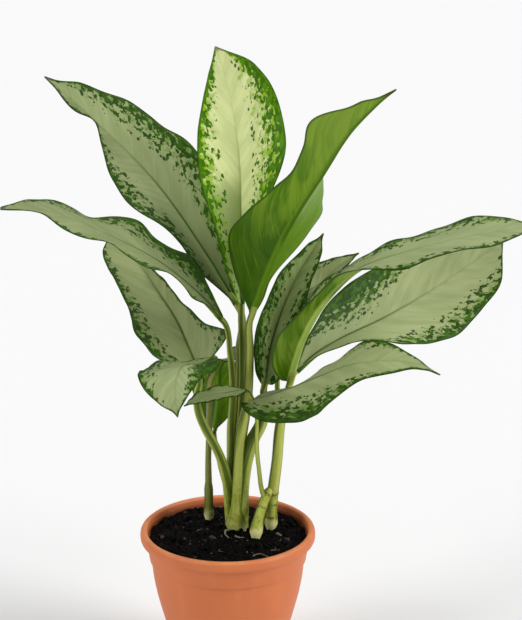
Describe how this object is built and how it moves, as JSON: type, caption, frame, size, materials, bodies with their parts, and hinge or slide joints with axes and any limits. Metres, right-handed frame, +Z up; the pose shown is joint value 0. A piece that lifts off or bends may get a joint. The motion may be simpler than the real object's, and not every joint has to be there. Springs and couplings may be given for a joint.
{
  "type": "potted chinese evergreen",
  "caption": "Bushy potted house plant with long pointed silver-green leaves on tall stalks, growing from soil in a tapered round plastic pot that stands on its flat bottom.",
  "frame": {"origin": "centre of the pot's flat bottom, on the surface that it stands on", "axes": "+Z up along the pot's axis; +X to the right and +Y away, seen from the plant's front"},
  "size_m": [0.4333, 0.2417, 0.5363],
  "materials": {
    "pot": "matte",
    "soil": "matte",
    "stalks": "satin",
    "leaves": "satin"
  },
  "bodies": {
    "root": {"pot": "pot", "soil": "soil", "shoot_main": "stalks", "shoot_left": "stalks", "shoot_right": "stalks", "leaf_upper_left": "leaves", "leaf_top": "leaves", "leaf_front": "leaves", "leaf_far_left": "leaves", "leaf_lower_left": "leaves", "leaf_drooping": "leaves", "leaf_small_front": "leaves", "leaf_lower_right": "leaves", "leaf_right": "leaves", "leaf_far_right": "leaves", "leaf_spotted": "leaves", "leaf_inner": "leaves", "leaf_small_back": "leaves"}
  },
  "joints": []
}
